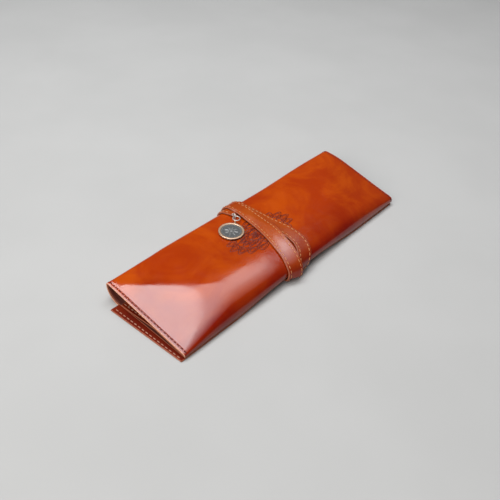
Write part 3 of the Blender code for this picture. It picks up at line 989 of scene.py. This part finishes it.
def make_anchor():
    """The patch over the strap's sewn end, under the base, with its box of stitches."""
    low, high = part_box("strap_anchor")
    x = np.linspace(low.x + CUT_EDGE, high.x - CUT_EDGE, 12)
    y = np.linspace(low.y + CUT_EDGE, high.y - CUT_EDGE, 10)
    grid_y, grid_x = np.meshgrid(y, x, indexing="ij")
    points = np.stack([grid_x, grid_y, np.full(grid_x.shape, low.z)], axis=2)
    sheet = [STRAP_GRAIN, CUT, FLESH]
    patch = leather_solid("anchor_patch", points, grid_normals(points), high.z - low.z, sheet)
    painted_shade_and_darkening(patch)
    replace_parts(ride_base(patch), "strap_anchor")
    corners = [points[1, 1], points[1, -2], points[-2, -2], points[-2, 1], points[1, 1]]
    blocks = []
    for start, end in zip(corners, corners[1:]):
        line = np.linspace(start, end, 12)
        blocks.append(seam(line, np.broadcast_to([0, 0, -1.0], line.shape), ANCHOR_PITCH))
    ride_base(joined("anchor_stitches", blocks, [THREAD]))


# ---- the pressed ornament

ORNAMENT_X, ORNAMENT_Y = COVER_X - 7.2 * MM, -0.4 * MM
ORNAMENT_SQUASH = 0.5
ORNAMENT_TURN = math.pi / 16
LINE_HALF_WIDTH = 0.26 * MM


def leaf(start, end, angle, half):
    """Outline of a pointed leaf between two radii, in mm, as a closed loop."""
    t = np.linspace(0, 1, 18)
    swell = half * np.sin(math.pi * t ** 0.85) ** 0.9
    radius = mix(start, end, t)
    one = np.stack([radius, angle + swell], axis=1)
    other = np.stack([radius, angle - swell], axis=1)
    return np.concatenate([one, other[-2:0:-1]])


def ring_line(radius, wave=0.0, count=0):
    """A circle, scalloped where wave is not 0."""
    angle = np.linspace(0, 2 * math.pi, 161)[:-1]
    return np.stack([radius + wave * np.abs(np.sin(count * angle / 2)), angle], axis=1)


def ornament_lines():
    """Rings, petals and leaves of the rosette, as (radius in mm, angle) loops."""
    lines = [ring_line(r) for r in (1.6, 10.0, 10.9)] + [ring_line(18.6, 1.5, 16)]
    for k in range(8):
        a = k * math.pi / 4
        lines += [leaf(2.2, 9.4, a, 0.33), leaf(3.4, 7.6, a, 0.16)]
    for k in range(16):
        a = k * math.pi / 8
        lines += [leaf(11.3, 18.2, a, 0.175), leaf(12.6, 16.6, a, 0.09)]
        b = a + math.pi / 16
        lines += [leaf(19.6, 27.6, b, 0.165), leaf(21.2, 25.8, b, 0.085), leaf(19.8, 23.6, a, 0.05)]
    return lines


def make_ornament():
    """The rosette pressed into the top: dark lines that lie on the leather."""
    y = cover_at(ORNAMENT_X)[TOP_ROW:, 0]
    centre_along = COVER.distance(np.interp(-ORNAMENT_Y, -y, np.arange(TOP_ROW, LIP_ROW + 1)))
    blocks = []
    for line in ornament_lines():
        radius, angle = line[:, 0] * MM, line[:, 1] + ORNAMENT_TURN
        flat = np.stack([radius * np.cos(angle), radius * np.sin(angle) * ORNAMENT_SQUASH], axis=1)
        forward = np.roll(flat, -1, axis=0) - np.roll(flat, 1, axis=0)
        forward /= np.maximum(np.linalg.norm(forward, axis=1), 1e-9)[:, None]
        aside = np.stack([-forward[:, 1], forward[:, 0]], axis=1)
        rails = []
        for side, height in ((1, -0.03), (1, 0.03), (-1, 0.03), (-1, -0.03)):
            spot = flat + aside * side * LINE_HALF_WIDTH
            points, normals = COVER.at(ORNAMENT_X + spot[:, 0], COVER.row(centre_along - spot[:, 1]))
            rails.append(points + normals * height * MM)
        blocks.append((np.stack(rails, axis=1).reshape(-1, 3), tube_faces(len(line), len(rails))))
    rosette = joined("ornament", blocks, [INK])
    bend_high(rosette)


# ---- the charm

TAIL_DIRECTION = scaled_to_1(np.array([-0.35, -0.94, 0]))
COIN_DIRECTION = scaled_to_1(np.array([-0.88, -0.475, 0]))
UP = np.array([0, 0, 1.0])


def middle(node):
    """Centre of a node's box."""
    low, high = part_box(node)
    return np.array((low + high) / 2)


def coin_relief(radius, angle):
    """Height of the coin's face, 1 at its rim: a beaded ring round an eight-petalled flower."""
    rim = ease((radius - 6.75) / 0.45) - 0.5 * ease((radius - 7.85) / 0.35)
    petal_edge = 3.5 + 1.7 * np.cos(8 * angle)
    vein = np.exp(-(np.sin(4 * angle) * radius / 0.5) ** 2)
    petals = ease((petal_edge - radius) / 1.1) * (0.75 - 0.35 * vein) * ease((radius - 1.25) / 0.35)
    boss = 0.9 * np.sqrt(np.clip(1 - (radius / 1.2) ** 2, 0, 1))
    spacing = 2 * math.pi / 36
    aside = (np.mod(angle, spacing) - spacing / 2) * 5.9
    beads = 0.8 * np.exp(-((radius - 5.9) ** 2 + aside ** 2) / 0.075)
    return np.maximum.reduce([rim, petals, boss, beads])


COIN_X = COIN_DIRECTION
COIN_Y = np.cross(UP, COIN_X)
COIN_CENTRE = np.array([COVER_X - 21 * MM, 12 * MM, 16.1 * MM + COIN_THICKNESS / 2])
RELIEF_DEPTH = 0.3 * MM
RIM_INSIDE = 6.7

# Rings: radius and half the wire's thickness
SMALL_RING = (1.6 * MM, 0.37 * MM)
JUMP_RING = (2.3 * MM, 0.37 * MM)
COIN_LOOP = (1.25 * MM, 0.36 * MM)
LOOP_REACH = 1.05 * MM
EYELET = (0.85 * MM, 0.28 * MM)


def make_coin():
    """The coin: a turned blank with the same relief on both faces, and a loop for the jump ring."""
    segments = 288
    radii = np.array([
        0, .3, .6, .9, 1.2, 1.5, 1.9, 2.3, 2.7, 3.1, 3.5, 3.9, 4.3, 4.7, 5.1, 5.4, 5.6, 5.75, 5.9,
        6.05, 6.2, 6.4, 6.7, 6.9, 7.1, 7.3, 7.7, 7.9, 8.05, 8.15, 8.2,
    ])
    angle = 2 * math.pi * np.arange(segments) / segments
    grid_r, grid_a = np.meshgrid(radii, angle, indexing="ij")
    face = coin_relief(grid_r, grid_a)
    height = COIN_THICKNESS / 2 + (face - 1) * RELIEF_DEPTH
    out = np.cos(grid_a)[..., None] * COIN_X + np.sin(grid_a)[..., None] * COIN_Y
    out = grid_r[..., None] * MM * out
    turned = np.r_[0, segments - 1:0:-1]
    upper = COIN_CENTRE + out + height[..., None] * UP
    lower = COIN_CENTRE + out[::-1] - height[::-1][..., None] * UP
    rows = np.concatenate([upper, lower], axis=0)
    number = np.arange(rows.shape[0] * segments).reshape(-1, segments)
    following = np.roll(number, -1, axis=1)
    faces = np.stack([
        number[:-1].ravel(), number[1:].ravel(), following[1:].ravel(), following[:-1].ravel(),
    ], axis=1)
    relief = np.concatenate([face, face[::-1]], axis=0).ravel()
    loop_centre = COIN_CENTRE - COIN_DIRECTION * (COIN_RADIUS + LOOP_REACH)
    loop_vertices, loop_faces = ring_block(loop_centre, *COIN_LOOP, COIN_DIRECTION, UP)
    blocks = [(rows.reshape(-1, 3), faces), (loop_vertices, loop_faces)]
    coin = joined("coin", blocks, [COIN_METAL, RIM_METAL])
    reach = np.concatenate([radii, radii[::-1]])
    on_rim = np.repeat(np.minimum(reach[:-1], reach[1:]) >= RIM_INSIDE, segments)
    indices = np.concatenate([on_rim, np.ones(len(loop_faces))]).astype(int)
    coin.data.polygons.foreach_set("material_index", indices)
    merge = coin.modifiers.new("weld", "WELD")
    merge.merge_threshold = 0.000001
    set_value(coin, "relief", np.concatenate([relief, np.full(len(loop_vertices), 0.75)]))
    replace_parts(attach(coin, "coin"), "coin_charm")


def metal_ring(name, centre, size, along, across):
    """A plated ring; size is its radius and half the wire's thickness."""
    ring = joined(name, [ring_block(centre, *size, along, across)], [RING_METAL])
    set_value(ring, "relief", np.full(len(ring.data.vertices), 0.8))
    return ring


def make_rings():
    """The small ring in the eyelet, and the jump ring that holds the coin."""
    aside = np.cross(UP, COIN_DIRECTION)
    for name, body, size, along, across in (
        ("small_ring", "top", SMALL_RING, TAIL_DIRECTION, UP),
        ("jump_ring", "jump_ring", JUMP_RING, COIN_DIRECTION, aside),
    ):
        ring = metal_ring(name + "_wire", middle(name), size, along, across)
        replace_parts(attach(ring, body), name)


def make_eyelet():
    """The pressed metal ring round the hole in the strap's tail."""
    hole = middle("small_ring") - TAIL_DIRECTION * SMALL_RING[0]
    distances = np.linspace(TAIL_END - 4 * MM, TAIL_END, 40)
    points = strap_point(3, distances, 0 * distances)[0]
    nearest = points[np.argmin(np.linalg.norm(points[:, :2] - hole[:2], axis=1))]
    centre = np.array([hole[0], hole[1], nearest[2]])
    eyelet = metal_ring("eyelet", centre, EYELET, np.array([1.0, 0, 0]), np.array([0, 1.0, 0]))
    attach(eyelet, "top")


# ---- the studio

CAMERA_ANGLES = (50.378, 40.181, 4.269)
CAMERA_DISTANCE = 0.3781
CAMERA_TARGET = (-0.0108 + COVER_X, 0.0041, 0)
CAMERA_LENS, CAMERA_SENSOR = 41.79, 36
COOL, COOLER, WARM = (0.97, 0.98, 1.0), (0.95, 0.98, 1.0), (1.0, 0.98, 0.95)
PANEL_HEIGHT = 1.0
FALL_OFF_STEPS, FALL_OFF_DEPTH, FALL_OFF_BACK = 8, 0.1, 0.18
FALL_OFF_RADIANCE, FALL_OFF_SHARE = 4.9, 0.72


def make_stage():
    """The floor under the case."""
    bpy.ops.mesh.primitive_plane_add(size=6)
    floor = bpy.context.object
    floor.name = "floor"
    rest = floor.data.attributes.new("rest", "FLOAT_VECTOR", "POINT")
    for vertex, place in zip(floor.data.vertices, rest.data):
        place.vector = vertex.co
    floor.data.materials.append(floor_material())


def make_camera():
    """The view from the front left, a little rolled."""
    azimuth, elevation, roll = (math.radians(angle) for angle in CAMERA_ANGLES)
    level = math.cos(elevation)
    back = Vector((-math.sin(azimuth) * level, -math.cos(azimuth) * level, math.sin(elevation)))
    camera = in_scene("camera", bpy.data.cameras.new("camera"))
    camera.data.lens = CAMERA_LENS
    camera.data.sensor_width = CAMERA_SENSOR
    camera.data.clip_start = 0.01
    camera.location = Vector(CAMERA_TARGET) + back * CAMERA_DISTANCE
    camera.rotation_mode = "QUATERNION"
    camera.rotation_quaternion = (-back).to_track_quat("-Z", "Y") @ Quaternion((0, 0, 1), roll)
    bpy.context.scene.camera = camera


def softbox(name, place, size, radiance, colour, target=None):
    """A rectangular light of a given radiance, facing straight down or towards a target."""
    light = bpy.data.lights.new(name, "AREA")
    light.shape = "RECTANGLE"
    light.size, light.size_y = size
    light.energy = radiance * math.pi * size[0] * size[1]
    light.color = colour
    lamp = in_scene(name, light)
    lamp.location = place
    if target is not None:
        lamp.rotation_mode = "QUATERNION"
        lamp.rotation_quaternion = (Vector(target) - Vector(place)).to_track_quat("-Z", "Y")


def make_lights():
    """Two bright panels overhead, strips that fade towards the front, and a soft fill."""
    softbox("key_panel", (-0.12, 0.375, PANEL_HEIGHT), (0.44, 0.39), 9.6, COOLER)
    softbox("side_panel", (0.43, 0.29, PANEL_HEIGHT), (0.66, 0.22), 4.8, COOL)
    for number in range(FALL_OFF_STEPS):
        place = (0.2, FALL_OFF_BACK - FALL_OFF_DEPTH * (number + 0.5), PANEL_HEIGHT)
        radiance = FALL_OFF_RADIANCE * FALL_OFF_SHARE ** number
        softbox(f"fall_off_{number}", place, (1.08, FALL_OFF_DEPTH), radiance, COOL)
    softbox("left_fill", (-1.05, -0.1, 0.85), (0.9, 1.1), 4.6, WARM, (0, 0, 0))
    world = bpy.data.worlds.new("studio")
    world.use_nodes = True
    world.node_tree.nodes["Background"].inputs["Color"].default_value = (0.92, 0.96, 1.0, 1)
    world.node_tree.nodes["Background"].inputs["Strength"].default_value = 0.06
    bpy.context.scene.world = world
    bpy.context.scene.view_settings.view_transform = "Standard"


make_camera()
make_stage()
make_lights()
make_cover()
make_lining()
make_pockets()
make_pen_loops()
make_end_seams()
make_strap()
make_anchor()
make_ornament()
make_rings()
make_eyelet()
make_coin()
